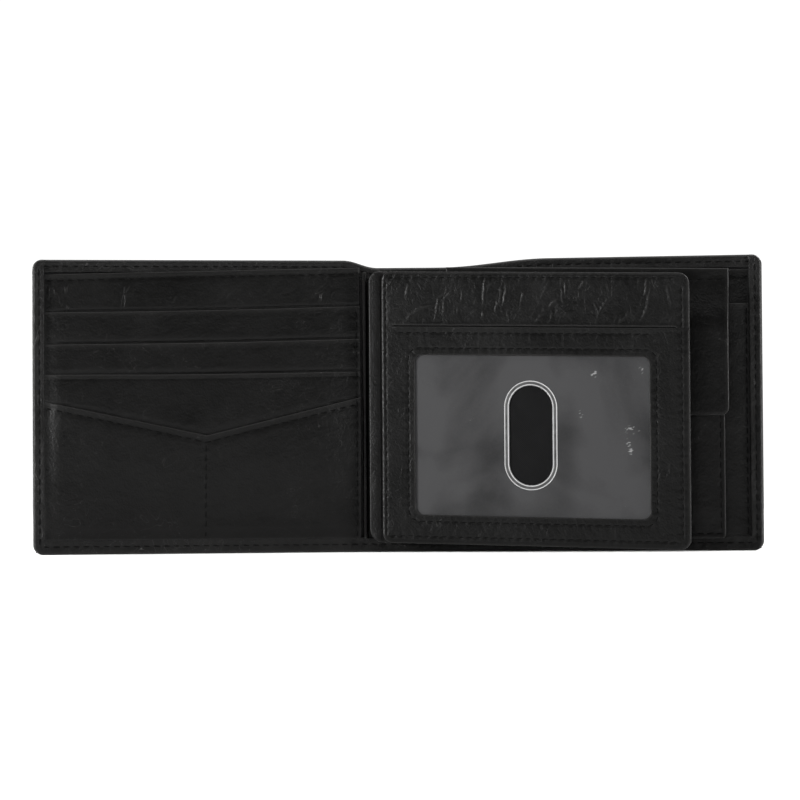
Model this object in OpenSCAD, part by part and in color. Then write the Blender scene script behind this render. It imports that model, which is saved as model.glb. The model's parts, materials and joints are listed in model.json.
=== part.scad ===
// Leather wallet with a leather cover that folds in two, a flip wing with an
// identity-card window, card pockets on the left leaf and a snap-closed coin
// pouch on the right leaf. It stands open on its bottom edges.
// Leaf coordinates: u runs outward from a crease, v from the cover's
// mid-plane towards the inside of the wallet, z is up.

/* [Leaves] */
// Height of the cover
cover_h = 89; // [80:1:100]
// Length of one leaf from its crease
leaf_len = 100; // [96:1:110]
// Width of the spine between the two creases
spine_w = 22; // [22:0.5:26]
// Thickness of the cover with its lining
cover_t = 1.6; // [1.4:0.1:1.8]
// How far the cover's top edge dips at the spine
spine_dip = 2.3; // [0:0.1:3]
// Width of the turned hems
hem_w = 4; // [3.5:0.1:5]
// Corner radius of the cover
corner_r = 3; // [2:0.5:4]

/* [Rest position] */
// Forward angle of the left leaf
left_angle = 8; // [6:0.5:12]
// Forward angle of the right leaf
right_angle = 9; // [8:0.5:12]
// Forward angle of the flip wing
wing_angle = 15; // [15:0.5:20]

/* [Flip wing] */
// Length of the wing from its crease
wing_len = 94.2; // [86:0.1:94.2]
// Height of the wing
wing_h = 82.3; // [78:0.1:82.3]
// Thickness of the wing
wing_t = 2; // [1.6:0.1:2]
// Angle by which the wing's free end droops
wing_droop = 1.46; // [0:0.01:1.5]
// Width of the identity window
window_w = 72; // [60:1:74]
// Height of the identity window
window_h = 48; // [40:1:50]

/* [Pockets] */
// Thickness of one pocket leather
pocket_t = 0.6; // [0.4:0.1:0.6]
// Thickness of the pouch flap
flap_t = 1; // [0.8:0.1:1]
// Radius of the snap's cap
snap_r = 6; // [5:0.5:7]

/* [Hidden] */

$fn = 48;
black = "#211f1e";
lining_grey = "#2e2d2f";
film_grey = "#6a6a6c";
thread_black = "#151414";
steel = "#b8b8ba";

// Creases of the cover
left_axis_x = -spine_w / 2 - 0.25;
right_axis_x = spine_w / 2 - 0.25;
leaf_start = 1.1;
panel_start = 1.4;
fit_gap = 0.3;

// Depths of the layers, measured along v
cover_back = -cover_t / 2;
cover_front = cover_t / 2;
lining_t = 0.35;
lining_back = cover_front - lining_t;
hem_front = cover_front + 1.2;
top_hem_front = cover_front + 0.35;
note_gap = 0.7;
layer_gap = 0.1;
layer_step = pocket_t + layer_gap;
backing_v = cover_front + note_gap;
pocket_v = backing_v + layer_step;
v_pocket_t = 0.7;
v_pocket_v = pocket_v + 3 * layer_step;
left_front = v_pocket_v + v_pocket_t;
pouch_v = 4.9;
pouch_t = 0.8;
flap_v = pouch_v + pouch_t + fit_gap;
flap_front = flap_v + flap_t;
thread_w = 0.45;
thread_h = 0.15;

// Heights of the inner panels and pocket mouths, outer end first
panel_bottom = hem_w + 0.6;
hem_z = hem_w + 0.3;
panel_end = leaf_len - hem_w;
panel_top = [cover_h - 4.5, cover_h - 2.2];
mouths = [[73, 75], [63.3, 65], [54.2, 55]];
v_mouth = [44.9, 46.7];
v_vertex = [47.4, 35];
slip_mouth = [74.2, 74.2];
stitch_in = 2;

// Coin pouch on the right leaf
pouch_u = [5, leaf_len - 9.3];
pouch_z = [7, 65];
flap_z = 40.5;
flap_knee_z = 68;
flap_hinge_z = 81.8;
flap_hinge_v = pocket_v + 0.45;
gusset_w = 0.8;
gusset_v = pocket_v + pocket_t + 0.05;
snap_u = (pouch_u[0] + pouch_u[1]) / 2;
snap_z = 49;
stud_r = 1.8;

// Flip wing, with s along the wing from its crease and heights from its
// bottom edge. Its rows droop towards the free end, and its ends stay upright.
wing_axis = [-4.7, -5.7];
wing_start = 3;
wing_low = 1.7;
strip_t = 1;
strip_len = 2.1;
strip_z = [4, 84];
tab_t = 0.6;
wing_r = 3;
slit_z = 65.8;
window_s = (10.2 + 82) / 2;
window_z = 32.1;
window_r = 3;
thumb_w = 16.8;
thumb_h = 32.5;
thumb_s = 46.4;
thumb_z = 33;
rim_w = 1.3;
film_t = 0.3;

// The origin is the middle of the base of the whole wallet's box
x_low = left_axis_x - leaf_len * cos(left_angle) - cover_front * sin(left_angle);
x_high = right_axis_x + leaf_len * cos(right_angle) + cover_front * sin(right_angle);
y_low = wing_axis[1] - wing_len * sin(wing_angle) - (wing_t / 2 + thread_h) * cos(wing_angle);
base_shift = [-(x_low + x_high) / 2, -(y_low + cover_front) / 2, 0];

// The cover's top edge is lower around the spine
function ease(t) = (1 - cos(180 * min(1, max(0, t)))) / 2;
function dip(x) = spine_dip * ease((x + 17) / 11) * (1 - ease((x - 14) / 34));
function left_top(u) = cover_h - dip(left_axis_x - u);
function right_top(u) = cover_h - dip(right_axis_x + u);
function between(ends, u) = ends[1] + (ends[0] - ends[1]) * (u - panel_start) / (panel_end - panel_start);

module in_spine() { translate(base_shift) children(); }
module in_left_leaf() {
    in_spine() translate([left_axis_x, 0, 0]) mirror([1, 0, 0]) rotate([0, 0, -left_angle]) children();
}
module in_right_leaf() {
    in_spine() translate([right_axis_x, 0, 0]) rotate([0, 0, -right_angle]) children();
}
module in_wing() {
    in_spine() translate([wing_axis[0], wing_axis[1], 0]) rotate([0, 0, -wing_angle]) children();
}

// A flat layer between depths v0 and v1, with its outline given in u and z
module layer(v0, v1) {
    translate([0, -v0, 0]) rotate([90, 0, 0]) linear_extrude(height = v1 - v0) children();
}
// A bar along u whose section is given in v and z
module bar_along_u(u0, u1) {
    translate([u0, 0, 0]) rotate([90, 0, 90]) linear_extrude(height = u1 - u0) mirror([1, 0]) children();
}
module block(u, z) { translate([u[0], z[0]]) square([u[1] - u[0], z[1] - z[0]]); }
module rounded(u, z, r) {
    block([u[0] + r, u[1] - r], z);
    block(u, [z[0] + r, z[1] - r]);
    for (cu = [u[0] + r, u[1] - r], cz = [z[0] + r, z[1] - r]) translate([cu, cz]) circle(r);
}
// What is cut away to round the two corners of an outline that ends at u = end
module corner_cut(end, z, r) {
    difference() {
        block([end - r, end + 1], [z[0] - 1, z[1] + 1]);
        block([end - r - 1, end], [z[0] + r, z[1] - r]);
        for (cz = [z[0] + r, z[1] - r]) translate([end - r, cz]) circle(r);
    }
}
// Outline of one leaf of the cover, above its bottom edge
module leaf_outline(left) {
    step = (leaf_len - leaf_start) / 40;
    tops = [for (i = [0:40]) let (u = leaf_start + i * step) [u, left ? left_top(u) : right_top(u)]];
    difference() {
        polygon(concat([[leaf_len, 0], [leaf_start, 0]], tops));
        corner_cut(leaf_len, [0, cover_h], corner_r);
    }
}
// A panel that reaches from its bottom edge to a straight, sloping mouth
module panel_outline(mouth) {
    polygon([
        [panel_start, panel_bottom], [panel_end, panel_bottom],
        [panel_end, mouth[0]], [panel_start, mouth[1]]
    ]);
}
// A row of thread that lies on the layer's face at depth v
module seam(p, q, v) {
    run = q - p;
    layer(v, v + thread_h)
        translate(p) rotate(atan2(run[1], run[0]))
            translate([0, -thread_w / 2]) square([norm(run), thread_w]);
}

module leaf_cover(left) { layer(cover_back, lining_back) leaf_outline(left); }
module leaf_lining(left) {
    layer(lining_back, cover_front) intersection() {
        leaf_outline(left);
        block([leaf_start, leaf_len - 0.5], [0.5, cover_h - 0.5]);
    }
}
module outer_hem() {
    layer(cover_front, hem_front) difference() {
        block([panel_end + fit_gap, leaf_len], [0, cover_h]);
        corner_cut(leaf_len, [0, cover_h], corner_r);
    }
}
module bottom_hem() { layer(cover_front, hem_front) block([leaf_start, panel_end], [0, hem_z]); }
module top_hem(left) {
    layer(cover_front, top_hem_front) intersection() {
        leaf_outline(left);
        block([leaf_start, panel_end], [cover_h - hem_w - spine_dip, cover_h]);
    }
}
module leaf_thread() {
    low = stitch_in;
    top = cover_h - stitch_in;
    seam([leaf_len - stitch_in, corner_r], [leaf_len - stitch_in, cover_h - corner_r], hem_front);
    seam([leaf_start + 2, low + 1], [panel_end, low + 1], hem_front);
    seam([50, top], [panel_end, top], top_hem_front);
}

module spine_cover() {
    color(black) in_spine() {
        steps = [for (i = [0:20]) left_axis_x + i * spine_w / 20];
        layer(cover_back, lining_back)
            polygon(concat([[right_axis_x, 0], [left_axis_x, 0]], [for (x = steps) [x, cover_h - dip(x)]]));
        for (x = [left_axis_x, right_axis_x])
            translate([x, 0, 0]) cylinder(r = cover_front, h = cover_h - dip(x));
    }
}
module spine_lining() {
    color(lining_grey) in_spine() layer(lining_back, cover_front)
        block([left_axis_x + 0.9, right_axis_x - 0.9], [0.5, cover_h - spine_dip - 1]);
}
// The leather tab that is sewn to the spine and carries the wing's hinge strip
module wing_tab() {
    color(black) in_spine() translate([0, 0, strip_z[0]]) linear_extrude(height = strip_z[1] - strip_z[0])
        polygon([
            wing_axis + [0.7, 0.9], wing_axis + [0.7 + tab_t, 0.9],
            [tab_t - 1.5, -cover_front], [-1.5, -cover_front]
        ]);
}

module left_cover() { color(black) in_left_leaf() leaf_cover(true); }
module left_outer_hem() { color(black) in_left_leaf() outer_hem(); }
module left_bottom_hem() { color(black) in_left_leaf() bottom_hem(); }
module left_top_hem() { color(black) in_left_leaf() top_hem(true); }
module left_note_lining() { color(lining_grey) in_left_leaf() leaf_lining(true); }
module left_cover_thread() { color(thread_black) in_left_leaf() leaf_thread(); }

module left_panel_backing() {
    color(black) in_left_leaf() layer(backing_v, backing_v + pocket_t) panel_outline(panel_top);
}
module card_pocket(i) {
    v = pocket_v + i * layer_step;
    color(black) in_left_leaf() layer(v, v + pocket_t) panel_outline(mouths[i]);
}
module card_pocket_upper() { card_pocket(0); }
module card_pocket_middle() { card_pocket(1); }
module card_pocket_lower() { card_pocket(2); }
module v_pocket() {
    color(black) in_left_leaf() layer(v_pocket_v, left_front) polygon([
        [panel_start, panel_bottom], [panel_end, panel_bottom],
        [panel_end, v_mouth[0]], v_vertex, [panel_start, v_mouth[1]]
    ]);
}
module left_panel_thread() {
    color(thread_black) in_left_leaf() {
        drop = [0, -stitch_in];
        in_u = panel_start + stitch_in;
        seam([in_u, between(panel_top, in_u)] + drop, [panel_end, panel_top[0]] + drop,
            backing_v + pocket_t);
        seam([in_u, v_mouth[1]] + drop, v_vertex + drop, left_front);
        seam([panel_end, v_mouth[0]] + drop, v_vertex + drop, left_front);
        seam([in_u, panel_bottom], [in_u, v_mouth[1] - 2 * stitch_in], left_front);
        seam([v_vertex[0], panel_bottom], v_vertex + 2 * drop, left_front);
    }
}

module right_cover() { color(black) in_right_leaf() leaf_cover(false); }
module right_outer_hem() { color(black) in_right_leaf() outer_hem(); }
module right_bottom_hem() { color(black) in_right_leaf() bottom_hem(); }
module right_top_hem() { color(black) in_right_leaf() top_hem(false); }
module right_note_lining() { color(lining_grey) in_right_leaf() leaf_lining(false); }
module right_cover_thread() { color(thread_black) in_right_leaf() leaf_thread(); }

module right_panel_backing() {
    color(black) in_right_leaf() layer(backing_v, backing_v + pocket_t)
        panel_outline([panel_top[0], panel_top[0]]);
}
module slip_pocket() {
    color(black) in_right_leaf() layer(pocket_v, pocket_v + pocket_t) panel_outline(slip_mouth);
}
// The top strip of the flap's leather, which is sewn to the backing
module flap_root() {
    color(black) in_right_leaf()
        layer(pocket_v, pocket_v + 0.9) block(pouch_u, [flap_hinge_z + 0.6, panel_top[0]]);
}
module pouch_gusset() {
    color(black) in_right_leaf() {
        for (u = [pouch_u[0], pouch_u[1] - gusset_w]) bar_along_u(u, u + gusset_w)
            polygon([[gusset_v, pouch_z[0]], [pouch_v - 0.5, pouch_z[0]], [gusset_v, pouch_z[1] - 5]]);
        bar_along_u(pouch_u[0], pouch_u[1])
            block([gusset_v, pouch_v - 0.5], [pouch_z[0] - gusset_w, pouch_z[0]]);
    }
}
module right_panel_thread() {
    color(thread_black) in_right_leaf() {
        top = panel_top[0] - stitch_in;
        seam([pouch_u[0], top], [pouch_u[1], top], pocket_v + 0.9);
        seam([pouch_u[1] + 1, top], [panel_end, top], backing_v + pocket_t);
        seam([panel_end - 1, panel_bottom], [panel_end - 1, slip_mouth[0] - 1], pocket_v + pocket_t);
    }
}

module coin_pouch_front() {
    color(black) in_right_leaf() layer(pouch_v, pouch_v + pouch_t) difference() {
        block(pouch_u, pouch_z);
        translate([snap_u, snap_z]) circle(stud_r);
    }
}
module coin_pouch_lining() {
    color(lining_grey) in_right_leaf() layer(pouch_v - 0.2, pouch_v) difference() {
        block([pouch_u[0] + 1.2, pouch_u[1] - 1.2], [pouch_z[0] + 1, pouch_z[1] - 0.5]);
        translate([snap_u, snap_z]) circle(snap_r - 1);
    }
}
// A round snap part on the pouch's axis, with its outline in radius and depth
module snap_part() {
    color(steel) in_right_leaf()
        translate([snap_u, 0, snap_z]) rotate([90, 0, 0]) rotate_extrude() children();
}
module snap_stud() {
    snap_part() union() {
        translate([0, pouch_v]) square([stud_r, flap_v + 0.7 - pouch_v]);
        translate([0, pouch_v + pouch_t]) square([snap_r - 1.5, 0.15]);
    }
}
module snap_post() { snap_part() translate([0, pouch_v - 0.35]) square([snap_r - 1.5, 0.35]); }
module pouch_thread() {
    color(thread_black) in_right_leaf() {
        v = pouch_v + pouch_t;
        for (u = [pouch_u[0] + 1, pouch_u[1] - 1]) seam([u, pouch_z[0] + 1], [u, flap_z - 1], v);
        seam([pouch_u[0] + 1, pouch_z[0] + 1], [pouch_u[1] - 1, pouch_z[0] + 1], v);
    }
}

module coin_flap() {
    color(black) in_right_leaf() difference() {
        union() {
            bar_along_u(pouch_u[0], pouch_u[1]) polygon([
                [flap_hinge_v - 0.45, flap_hinge_z], [flap_v, flap_knee_z], [flap_v, flap_z],
                [flap_front, flap_z], [flap_front, flap_knee_z], [flap_hinge_v + 0.45, flap_hinge_z]
            ]);
            translate([pouch_u[0], -flap_hinge_v, flap_hinge_z]) rotate([0, 90, 0])
                cylinder(r = 0.45, h = pouch_u[1] - pouch_u[0]);
        }
        translate([snap_u, -flap_v + 1, snap_z]) rotate([90, 0, 0])
            cylinder(r = snap_r - 1.5, h = flap_t + 2);
    }
}
module snap_socket() {
    snap_part() translate([stud_r + 0.4, flap_v]) square([snap_r - 1.9 - stud_r, flap_t - 0.1]);
}
module snap_cap() {
    dome = 1.6;
    big_r = (snap_r * snap_r + dome * dome) / (2 * dome);
    snap_part() intersection() {
        translate([0, flap_front]) square([snap_r, dome + 1]);
        translate([0, flap_front + dome - big_r]) circle(big_r, $fn = 96);
    }
}
module flap_thread() {
    color(thread_black) in_right_leaf() {
        for (u = [pouch_u[0] + 1.5, pouch_u[1] - 1.5]) seam([u, flap_z + 1.5], [u, flap_knee_z], flap_front);
        seam([pouch_u[0] + 1.5, flap_z + 1.5], [pouch_u[1] - 1.5, flap_z + 1.5], flap_front);
    }
}

module wing_hinge_strip() {
    color(black) in_wing() rotate([0, 0, wing_angle]) {
        h = strip_z[1] - strip_z[0];
        translate([-strip_len, -strip_t / 2, strip_z[0]]) cube([strip_len, strip_t, h]);
        for (s = [-strip_len, 0]) translate([s, 0, strip_z[0]]) cylinder(r = strip_t / 2, h = h);
    }
}
// Turns a piece of the wing in the wing's own plane, about its middle
module drooped() {
    middle = [wing_len / 2, 0, wing_low + wing_h / 2];
    translate(middle) rotate([0, wing_droop, 0]) translate([-middle[0], 0, -wing_h / 2]) children();
}
// A drooped layer of the wing between depths w0 and w1, towards the front
module wing_layer(w0, w1) { in_wing() drooped() layer(w0, w1) children(); }
// A full-length layer of the wing between two heights, with upright ends and
// round corners at the free end
module wing_plate(w0, w1, z0, z1) {
    fall = sin(wing_droop) * wing_len / 2;
    end_z = [wing_low - fall, wing_low + wing_h - fall];
    in_wing() difference() {
        intersection() {
            drooped() layer(w0, w1) block([-wing_h, wing_len + wing_h], [z0, z1]);
            layer(w0 - 1, w1 + 1) block([wing_start, wing_len], [-1, cover_h + 1]);
        }
        layer(w0 - 1, w1 + 1) corner_cut(wing_len, end_z, wing_r);
    }
}
module thumb_shape(grow = 0) {
    w = thumb_w / 2 + grow;
    h = thumb_h / 2 + grow;
    translate([thumb_s, thumb_z]) rounded([-w, w], [-h, h], w - 0.01);
}
module wing_front_frame() {
    color(black) difference() {
        wing_plate(wing_t / 2 - 0.6, wing_t / 2, 0, slit_z - 0.2);
        wing_layer(0, wing_t) rounded([window_s - window_w / 2, window_s + window_w / 2],
            [window_z - window_h / 2, window_z + window_h / 2], window_r);
    }
}
module wing_top_pocket() {
    color(black) wing_plate(wing_t / 2 - 0.6, wing_t / 2, slit_z + 0.2, wing_h);
}
module id_window_film() {
    color(film_grey) wing_layer(wing_t / 2 - 0.6 - film_t, wing_t / 2 - 0.6) difference() {
        block([wing_start + 3, wing_len - 3], [2, slit_z - 1]);
        thumb_shape(-rim_w);
    }
}
module thumb_hole_rim() {
    color(film_grey) wing_layer(wing_t / 2 - 0.6, wing_t / 2 - 0.35) difference() {
        thumb_shape();
        thumb_shape(-rim_w);
    }
}
module wing_divider() {
    color(lining_grey) wing_plate(-wing_t / 2 + 0.7, -wing_t / 2 + 0.9, 1, wing_h - 1);
}
module wing_back() { color(black) wing_plate(-wing_t / 2, -wing_t / 2 + 0.7, 0, wing_h); }
module wing_seam(p, q) { seam(p, q, wing_t / 2); }
module wing_thread() {
    low = 1.3;
    high = wing_h - low;
    far = wing_len - 2.5;
    near = wing_start + 2.5;
    pad = 2.6;
    frame_s = [window_s - window_w / 2 - pad, window_s + window_w / 2 + pad];
    frame_z = [window_z - window_h / 2 - pad, window_z + window_h / 2 + pad];
    color(thread_black) in_wing() drooped() {
        wing_seam([near, low], [far, low]);
        wing_seam([near, high], [far, high]);
        for (s = [near, far]) wing_seam([s, low + 1], [s, slit_z - 2]);
        for (s = frame_s) wing_seam([s, frame_z[0] + 1], [s, frame_z[1] - 1]);
        for (z = frame_z) wing_seam([frame_s[0], z], [frame_s[1], z]);
        wing_seam([near + 1, slit_z - 1.6], [far - 1, slit_z - 1.6]);
    }
}

spine_cover();
spine_lining();
wing_tab();
left_cover();
left_outer_hem();
left_bottom_hem();
left_top_hem();
left_note_lining();
left_cover_thread();
left_panel_backing();
card_pocket_upper();
card_pocket_middle();
card_pocket_lower();
v_pocket();
left_panel_thread();
right_cover();
right_outer_hem();
right_bottom_hem();
right_top_hem();
right_note_lining();
right_cover_thread();
right_panel_backing();
slip_pocket();
flap_root();
pouch_gusset();
right_panel_thread();
coin_pouch_front();
coin_pouch_lining();
snap_stud();
snap_post();
pouch_thread();
coin_flap();
snap_socket();
snap_cap();
flap_thread();
wing_hinge_strip();
wing_front_frame();
wing_top_pocket();
id_window_film();
thumb_hole_rim();
wing_divider();
wing_back();
wing_thread();
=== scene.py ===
"""Looks of the leather wallet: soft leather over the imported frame, stitching, window film, light and camera.

Lengths are millimetres until a mesh is made, and each leaf has its own axes: u runs outward from its crease,
v towards the inside of the wallet, and z is up.
"""

import json
import math

import bmesh
import bpy
import numpy as np
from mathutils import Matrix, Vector

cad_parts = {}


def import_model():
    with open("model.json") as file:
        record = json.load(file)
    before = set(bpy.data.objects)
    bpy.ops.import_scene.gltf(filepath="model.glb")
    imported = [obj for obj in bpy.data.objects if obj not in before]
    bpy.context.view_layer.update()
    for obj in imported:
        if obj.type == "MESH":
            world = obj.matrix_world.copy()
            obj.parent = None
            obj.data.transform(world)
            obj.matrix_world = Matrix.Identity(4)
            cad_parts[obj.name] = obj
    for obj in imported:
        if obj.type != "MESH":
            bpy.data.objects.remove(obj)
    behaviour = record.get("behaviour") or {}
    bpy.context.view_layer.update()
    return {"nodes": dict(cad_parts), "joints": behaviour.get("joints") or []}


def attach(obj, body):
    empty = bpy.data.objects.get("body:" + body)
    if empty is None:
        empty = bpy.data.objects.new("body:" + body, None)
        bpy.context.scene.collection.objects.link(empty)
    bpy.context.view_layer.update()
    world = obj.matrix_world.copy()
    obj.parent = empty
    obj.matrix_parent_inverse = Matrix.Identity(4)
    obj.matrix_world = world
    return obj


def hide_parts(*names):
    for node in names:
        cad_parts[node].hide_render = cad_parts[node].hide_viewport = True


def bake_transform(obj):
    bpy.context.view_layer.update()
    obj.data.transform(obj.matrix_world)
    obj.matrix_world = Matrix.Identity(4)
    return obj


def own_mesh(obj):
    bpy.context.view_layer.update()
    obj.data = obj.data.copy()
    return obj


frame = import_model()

MM = 0.001
JOINTS = {joint["name"]: joint for joint in frame["joints"]}

# Leaves
LEAF = 100.0
HEIGHT = 89.0
MIDDLE_Z = 40.0
SPINE_HALF = 11.0
SPINE_BEND = (3.2, -3.8)  # where the cover's bend over a crease ends, on the leaf and on the spine
DIP = 2.3
CORNER = 3.0
HEM = {"left": 3.6, "right": 4.0}
HEM_LOW = 4.5
HEM_TOP = 4.0
ROW = 2.0  # from the cover's edge to its sewn row
LOW_ROW = 2.4
BACK = -0.8
INSIDE = 0.45
HEM_FRONT = 1.9
TOP_HEM_FRONT = 1.25
LEFT_ANGLE = math.radians(8)
RIGHT_ANGLE = math.radians(9)

# Inner panels: mouth heights are given at the outer end and at the spine
PANEL = (0.55, 96.8)
PANEL_LOW = 4.0
PANEL_TOP = (84.5, 86.8)
MOUTHS = [(73.0, 75.0), (63.3, 65.0), (54.2, 55.0)]
V_MOUTH = (46.1, 47.2)
V_VERTEX = (47.8, 35.7)
SEAM_U = 1.8
# Depths of the stacked layers where they are tucked under the hems, at the crease and in the middle
TUCKED_V = [0.95, 1.15, 1.35, 1.55, 1.75]
CREASE_V = [1.62, 1.95, 2.28, 2.61, 2.98]
FULL_V = [2.1, 2.8, 3.5, 4.2, 5.0]
RIGHT_TOP = (84.6, 84.9)
SLIP_MOUTH = (74.4, 73.8)
SEWN_U = 96.0
FREE_U = {"left_leaf": 75.0, "right_leaf": 91.5}  # where a tilting panel is clear of its sewn end

# Coin pouch
POUCH = (4.6, 88.8)
POUCH_LOW = 3.8
POUCH_TOP = 65.0
POUCH_FRONT = 5.7
POUCH_SEAM = 1.3
POUCH_MIDDLE = 47.0
GUSSET_V = 2.85
FLAP_LOW = 40.6
FLAP_TOP = (84.9, 86.6)
FLAP_HINGE = 81.8
FLAP_FRONT = 7.0
FLAP_KNEE = 68.0
FLAP_ROOT_V = 3.1

# Flip wing: s is along the wing, heights are above its bottom edge
WING_ANGLE = math.radians(15)
WING = (-0.3, 94.2)
STRIP = (-4.2, 1.4)
WING_H = 82.3
WING_LOW = 1.7
DROOP = math.tan(math.radians(1.46))
WING_R = 3.2
SLIT = 65.8
SLIT_ENDS = (3.2, 90.6)
SLIT_GAP = 0.13  # half of the slit's width
WINDOW = (10.2, 82.2, 8.8, 57.1)
WINDOW_SEAM = 2.1
THUMB = (45.9, 33.2, 7.8, 16.1)

STITCH_PITCH = 3.0
WING_PITCH = 2.6
FAR = 99.0  # stands for a distance from an edge that isn't rounded
LIP_LINES = (-0.5, -0.2, -0.1, 0.05, 0.2, 0.4, 0.7)  # grid lines round a turned-in edge
CAMERA_ROLL = -0.39

# Colours
BLACK = (0.0009, 0.0009, 0.0008)
GREY = (0.005, 0.0049, 0.0048)
HEM_GREY = (0.012, 0.0118, 0.0116)
FILM_TONES = [(0.42, (0.007, 0.007, 0.0075)), (0.6, (0.031, 0.031, 0.032))]

# Noise ----------------------------------------------------------------


def smooth(t):
    """Runs from 0 to 1 with flat ends."""
    t = np.clip(t, 0, 1)
    return t * t * (3 - 2 * t)


def lattice(ix, iy, seed):
    """A fixed random number from -1 to 1 for each whole-numbered point."""
    h = (ix * 374761393 + iy * 668265263 + seed * 2147483629) & 0xFFFFFFFF
    h = ((h ^ (h >> 13)) * 1274126177) & 0xFFFFFFFF
    h = ((h ^ (h >> 16)) * 2246822519) & 0xFFFFFFFF
    return (h ^ (h >> 13)) / 2147483647.5 - 1


def noise(x, y, seed):
    ix, iy = np.floor(x).astype(np.int64), np.floor(y).astype(np.int64)
    fx, fy = smooth(x - ix), smooth(y - iy)
    low = lattice(ix, iy, seed) * (1 - fx) + lattice(ix + 1, iy, seed) * fx
    high = lattice(ix, iy + 1, seed) * (1 - fx) + lattice(ix + 1, iy + 1, seed) * fx
    return low * (1 - fy) + high * fy


def layered(x, y, seed, octaves=3):
    total, size = 0, 1
    for k in range(octaves):
        total = total + noise(x * 2**k, y * 2**k, seed + 17 * k) * size
        size *= 0.5
    return total / 1.75


def creases(u, z, seed, scale, width, lean=0.0, stretch=1.0):
    """Thin wandering lines, 1 on a line and 0 off it, in patches."""
    x = (u + lean * z) / scale
    y = z / (scale * stretch)
    x = x + 0.7 * noise(x * 0.8 + 3, y * 0.8, seed + 5)
    y = y + 0.7 * noise(x * 0.8, y * 0.8 + 9, seed + 6)
    line = np.clip(1 - np.abs(noise(x, y, seed)) / width, 0, 1) ** 2
    fine = np.clip(1 - np.abs(noise(x * 2.3, y * 2.3, seed + 2)) / (width * 1.6), 0, 1) ** 2
    patch = smooth(0.5 + 1.6 * noise(u / 17 + 5, z / 15, seed + 3))
    return (line + 0.5 * fine) * patch


# Main creases of the soft leather, as (along, height) points on the wing and on the left panel
STRIP_CREASES = [
    [(32.3, 80.5), (32, 76), (31.3, 71.5)], [(32.4, 77), (35.1, 80)], [(36.4, 81.4), (36.5, 79.4)],
    [(37.6, 78.3), (36.8, 74), (35.5, 70.5)], [(38.8, 78.3), (38, 72.5)], [(39.4, 70.4), (39.5, 67.2)],
    [(22.6, 79.2), (21.6, 76), (19.8, 74.2), (19.2, 68.6)], [(17.6, 75), (17.4, 72), (16.6, 68.2)],
    [(21, 76.5), (18.2, 74.8)], [(25.5, 76.4), (25, 72.6)], [(23.9, 71.6), (24, 69.2)],
    [(8.1, 78.8), (7.7, 74.4)], [(8, 68.4), (13, 71.6), (15.9, 72.4)], [(26, 68.7), (30.2, 71.3)],
    [(31.6, 70.4), (31.7, 68.3)], [(47.8, 67.2), (50.7, 70.4)], [(48, 68.7), (52, 72), (55.1, 75)],
    [(52, 70.8), (54.2, 74.4)], [(55.8, 78.2), (56.3, 72.8)], [(56.9, 79), (56.9, 75.3)],
    [(53, 71.6), (52.4, 68)], [(55.4, 68.7), (55, 66.8)], [(61.2, 77.4), (62.9, 79.8)],
    [(73.3, 67.2), (76.3, 70.5)], [(77.4, 66.8), (77.7, 69), (79.6, 71.4), (80.3, 75.5)],
    [(79.2, 66.8), (81.8, 71.6), (83, 77.3)], [(81.6, 80.6), (81, 74.6)],
    [(87.3, 79.2), (88.7, 75.4), (88.8, 71.4)], [(85.1, 66.8), (88.4, 70.2)], [(66, 73), (67, 70.5)],
    [(43, 72), (44.5, 76.5)], [(69.5, 79), (70.5, 75.8)], [(11.6, 79), (12.4, 77.2)],
]
FRAME_CREASES = [
    [(13.5, 63.2), (12.8, 61.6)], [(30.9, 63.2), (30, 59.3)], [(32.5, 60.6), (35.3, 63.8)],
    [(33.8, 60.3), (37.7, 63.6)], [(46.4, 63.4), (46, 61)], [(47.6, 63.3), (47.5, 61.2)],
    [(6.2, 44), (7.6, 47.5)], [(5.4, 20), (6.6, 24)], [(87.6, 22), (89.3, 27)],
]
PANEL_CREASES = [
    [(95, 81.3), (95.1, 77)], [(93.1, 80.3), (93.2, 78.5)], [(91.2, 81.6), (91.3, 77)],
    [(90.1, 81.6), (90, 78.5)], [(89.6, 75.5), (89.4, 73.6)], [(91.7, 78.3), (91.5, 75.2)],
    [(72.4, 81.8), (73.2, 78), (74.2, 73.6)], [(71.6, 79.6), (73.1, 74)], [(70.8, 81.5), (71.8, 79)],
    [(56.6, 78.7), (58.1, 75.5)], [(8.6, 80), (9.6, 77.6), (8.2, 75.6)], [(12.2, 79), (12.9, 76.8)],
    [(40, 80), (41.2, 77.5)],
]
PANEL_CREASED = [(7, 13.5), (39, 42), (55.5, 59), (69.5, 75.5), (88.5, 96.2)]  # stretches with a fine mesh

# Rubbed places of the window film: along, height and half width
SCUFFS = [
    (65.3, 51.9, 0.9), (61.3, 40.0, 0.6), (76.8, 35.3, 2.2), (76.4, 28.9, 0.8), (79.7, 53.3, 0.6),
    (75.6, 31.5, 0.7),
]

# Places ---------------------------------------------------------------


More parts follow.
